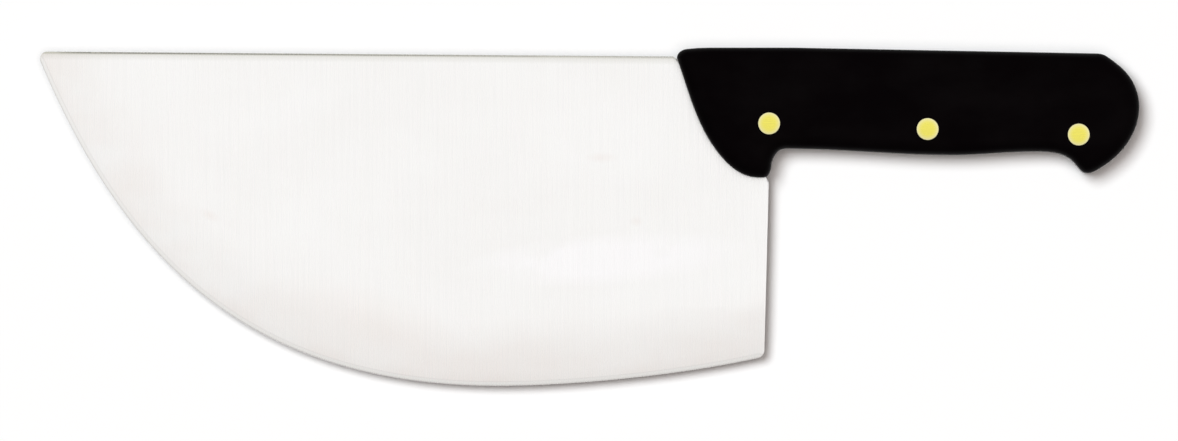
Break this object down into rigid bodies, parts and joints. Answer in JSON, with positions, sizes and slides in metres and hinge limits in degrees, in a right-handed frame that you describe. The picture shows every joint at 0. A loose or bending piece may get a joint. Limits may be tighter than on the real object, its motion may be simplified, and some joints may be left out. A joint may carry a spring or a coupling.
{
  "type": "butcher's steak knife",
  "caption": "Broad butcher's knife with a deep curved belly, straight spine, square heel and a black riveted full-tang grip with a hooked butt, for slicing and chopping meat.",
  "frame": {"origin": "middle of the knife's length and depth, on the plane of the right scale's outer face", "axes": "+X back towards the butt, +Y towards the spine, +Z out of the left side of the knife, so it lies on its right side"},
  "size_m": [0.3618, 0.1112, 0.02],
  "materials": {
    "blade_steel": "fine satin grind, pale grey, slightly duller along the belly",
    "handle_plastic": "moulded black plastic, very low sheen",
    "rivet_brass": "ground flush, pale lemon brass"
  },
  "bodies": {
    "root": {"blade": "blade_steel", "left_scale": "handle_plastic", "right_scale": "handle_plastic", "heel_rivet_barrel": "rivet_brass", "heel_rivet_stem": "rivet_brass", "middle_rivet_barrel": "rivet_brass", "middle_rivet_stem": "rivet_brass", "butt_rivet_barrel": "rivet_brass", "butt_rivet_stem": "rivet_brass"}
  },
  "joints": []
}
